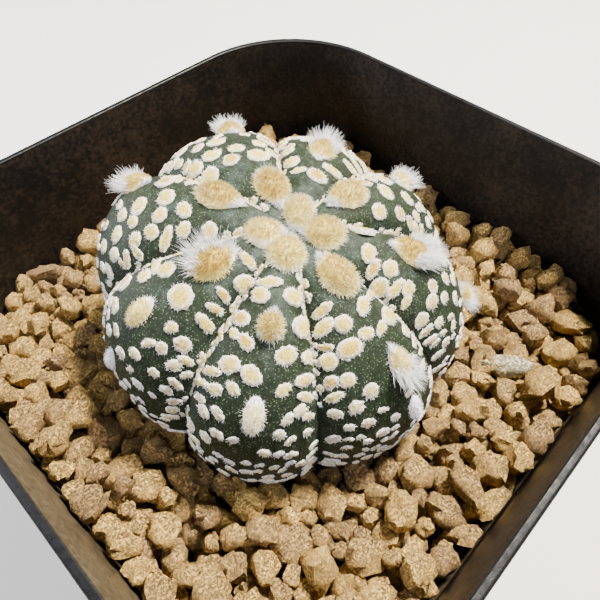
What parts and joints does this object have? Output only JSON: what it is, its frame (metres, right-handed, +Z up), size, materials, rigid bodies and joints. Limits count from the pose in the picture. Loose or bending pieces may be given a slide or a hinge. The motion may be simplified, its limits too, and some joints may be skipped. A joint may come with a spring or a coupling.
{
  "type": "potted star cactus",
  "caption": "Low ribbed star cactus with woolly areoles and white flecks, growing in clay granules in a square plastic nursery pot.",
  "frame": {"origin": "on the ground, under the middle of the pot's foot", "axes": "+Z up out of the pot; X and Y run along the pot's sides, and the plant leans a little towards -Y"},
  "size_m": [0.09, 0.09, 0.0885],
  "materials": {
    "pot": "thin moulded black polypropylene, dusty",
    "soil": "rough porous baked clay granules",
    "cactus": "matte plant skin with felt flecks"
  },
  "bodies": {
    "root": {"pot": "pot", "soil": "soil", "cactus": "cactus"}
  },
  "joints": []
}
